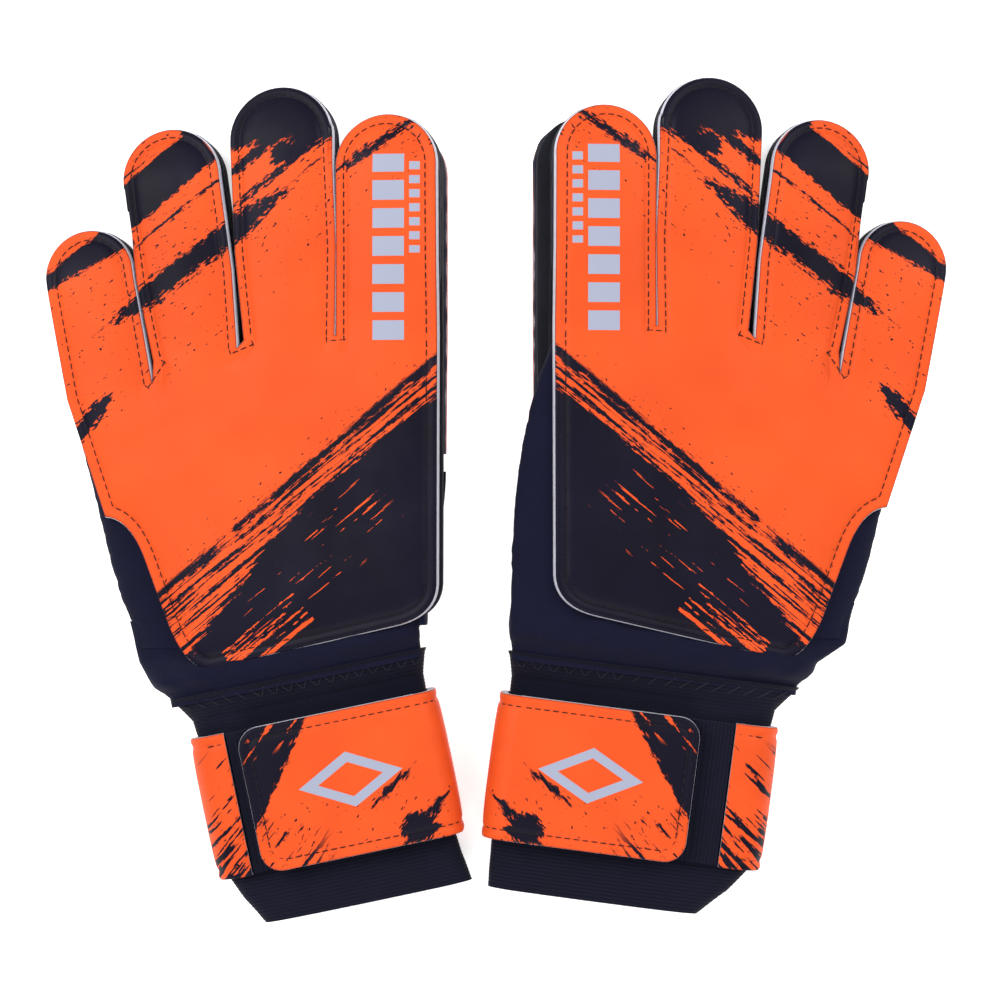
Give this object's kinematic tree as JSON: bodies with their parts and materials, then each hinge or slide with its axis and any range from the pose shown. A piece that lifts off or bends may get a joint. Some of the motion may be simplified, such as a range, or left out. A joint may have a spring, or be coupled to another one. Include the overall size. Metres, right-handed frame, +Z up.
{
  "type": "goalkeeper gloves",
  "caption": "A pair of padded ball-catching gloves with split fingers, folded-in thumbs, ribbed cuffs and wrap-over wrist straps.",
  "frame": {"origin": "on the floor under the middle of the pair's box", "axes": "+X across the pair from the left glove to the right glove, +Y towards the fingertips, +Z up out of the backhands"},
  "size_m": [0.281, 0.2626, 0.0318],
  "materials": {
    "printed_backhand": "smooth printed skin on white foam, satin",
    "printed_strap": "smooth printed skin on foam, satin",
    "palm_latex": "matt foamed latex",
    "stretch_fabric": "fine stretch knit",
    "ribbed_elastic": "ribbed woven elastic",
    "lining": "soft knit",
    "hook_and_loop": "matt hook-and-loop tape"
  },
  "bodies": {
    "left_hand": {"left_backhand_panel": "printed_backhand", "left_back_lining": "lining", "left_palm_pad": "palm_latex", "left_palm_lining": "lining", "left_thumb_side_wall": "stretch_fabric", "left_little_side_wall": "stretch_fabric", "left_thumb_root_panel": "stretch_fabric", "left_wrist_sleeve": "stretch_fabric", "left_elastic_cuff": "ribbed_elastic", "left_strap_base": "printed_strap", "left_strap_elastic": "ribbed_elastic", "left_loop_patch": "hook_and_loop"},
    "left_flap": {"left_strap_flap": "printed_strap", "left_hook_patch": "hook_and_loop"},
    "left_index": {"left_index_back": "printed_backhand", "left_index_gusset": "stretch_fabric", "left_index_palm": "palm_latex"},
    "left_middle": {"left_middle_back": "printed_backhand", "left_middle_gusset": "stretch_fabric", "left_middle_palm": "palm_latex"},
    "left_ring": {"left_ring_back": "printed_backhand", "left_ring_gusset": "stretch_fabric", "left_ring_palm": "palm_latex"},
    "left_little": {"left_little_back": "printed_backhand", "left_little_gusset": "stretch_fabric", "left_little_palm": "palm_latex"},
    "left_thumb": {"left_thumb_palm": "palm_latex", "left_thumb_gusset": "stretch_fabric", "left_thumb_back": "printed_backhand"},
    "right_hand": {"right_backhand_panel": "printed_backhand", "right_back_lining": "lining", "right_palm_pad": "palm_latex", "right_palm_lining": "lining", "right_thumb_side_wall": "stretch_fabric", "right_little_side_wall": "stretch_fabric", "right_thumb_root_panel": "stretch_fabric", "right_wrist_sleeve": "stretch_fabric", "right_elastic_cuff": "ribbed_elastic", "right_strap_base": "printed_strap", "right_strap_elastic": "ribbed_elastic", "right_loop_patch": "hook_and_loop"},
    "right_flap": {"right_strap_flap": "printed_strap", "right_hook_patch": "hook_and_loop"},
    "right_index": {"right_index_back": "printed_backhand", "right_index_gusset": "stretch_fabric", "right_index_palm": "palm_latex"},
    "right_middle": {"right_middle_back": "printed_backhand", "right_middle_gusset": "stretch_fabric", "right_middle_palm": "palm_latex"},
    "right_ring": {"right_ring_back": "printed_backhand", "right_ring_gusset": "stretch_fabric", "right_ring_palm": "palm_latex"},
    "right_little": {"right_little_back": "printed_backhand", "right_little_gusset": "stretch_fabric", "right_little_palm": "palm_latex"},
    "right_thumb": {"right_thumb_palm": "palm_latex", "right_thumb_gusset": "stretch_fabric", "right_thumb_back": "printed_backhand"}
  },
  "joints": [
    {"name": "left_index_curl", "type": "hinge", "parent": "left_hand", "child": "left_index", "pos_m": [-0.03273, 0.05148, 0.02231], "axis": [-0.9903, -0.0052, -0.1392], "range_deg": [-35, 0], "stiffness_Nm_per_rad": 0.15},
    {"name": "left_middle_curl", "type": "hinge", "parent": "left_hand", "child": "left_middle", "pos_m": [-0.06293, 0.05058, 0.01807], "axis": [-0.9893, -0.0436, -0.139], "range_deg": [-15, 60], "stiffness_Nm_per_rad": 0.15},
    {"name": "left_ring_curl", "type": "hinge", "parent": "left_hand", "child": "left_ring", "pos_m": [-0.09234, 0.04559, 0.01393], "axis": [-0.9806, -0.1392, -0.1378], "range_deg": [-15, 60], "stiffness_Nm_per_rad": 0.15},
    {"name": "left_little_curl", "type": "hinge", "parent": "left_hand", "child": "left_little", "pos_m": [-0.11918, 0.03419, 0.01016], "axis": [-0.9737, -0.1822, -0.1368], "range_deg": [-15, 60], "stiffness_Nm_per_rad": 0.15},
    {"name": "left_thumb_swing", "type": "hinge", "parent": "left_hand", "child": "left_thumb", "pos_m": [-0.03153, 0.01499, 0.0145], "axis": [0.1392, 0, -0.9903], "range_deg": [0, 16]},
    {"name": "left_flap_peel", "type": "hinge", "parent": "left_hand", "child": "left_flap", "pos_m": [-0.02161, -0.0816, 0.02485], "axis": [-0.2045, 0.9789, 0], "range_deg": [0, 120]},
    {"name": "right_index_curl", "type": "hinge", "parent": "right_hand", "child": "right_index", "pos_m": [0.03273, 0.05448, 0.02231], "axis": [-0.9903, 0.0052, 0.1392], "range_deg": [-35, 0], "stiffness_Nm_per_rad": 0.15},
    {"name": "right_middle_curl", "type": "hinge", "parent": "right_hand", "child": "right_middle", "pos_m": [0.06293, 0.05359, 0.01807], "axis": [-0.9893, 0.0436, 0.139], "range_deg": [-15, 60], "stiffness_Nm_per_rad": 0.15},
    {"name": "right_ring_curl", "type": "hinge", "parent": "right_hand", "child": "right_ring", "pos_m": [0.09234, 0.04859, 0.01393], "axis": [-0.9806, 0.1392, 0.1378], "range_deg": [-15, 60], "stiffness_Nm_per_rad": 0.15},
    {"name": "right_little_curl", "type": "hinge", "parent": "right_hand", "child": "right_little", "pos_m": [0.11918, 0.03719, 0.01016], "axis": [-0.9737, 0.1822, 0.1368], "range_deg": [-15, 60], "stiffness_Nm_per_rad": 0.15},
    {"name": "right_thumb_swing", "type": "hinge", "parent": "right_hand", "child": "right_thumb", "pos_m": [0.02777, 0.01799, 0.01503], "axis": [0.1392, 0, 0.9903], "range_deg": [0, 16]},
    {"name": "right_flap_peel", "type": "hinge", "parent": "right_hand", "child": "right_flap", "pos_m": [0.0056, -0.08235, 0.02485], "axis": [-0.1305, -0.9914, 0], "range_deg": [0, 120]},
    {"name": "pair_apart", "type": "slide", "parent": "left_hand", "child": "right_hand", "axis": [1, 0, 0], "range_m": [0, 0.1]}
  ]
}
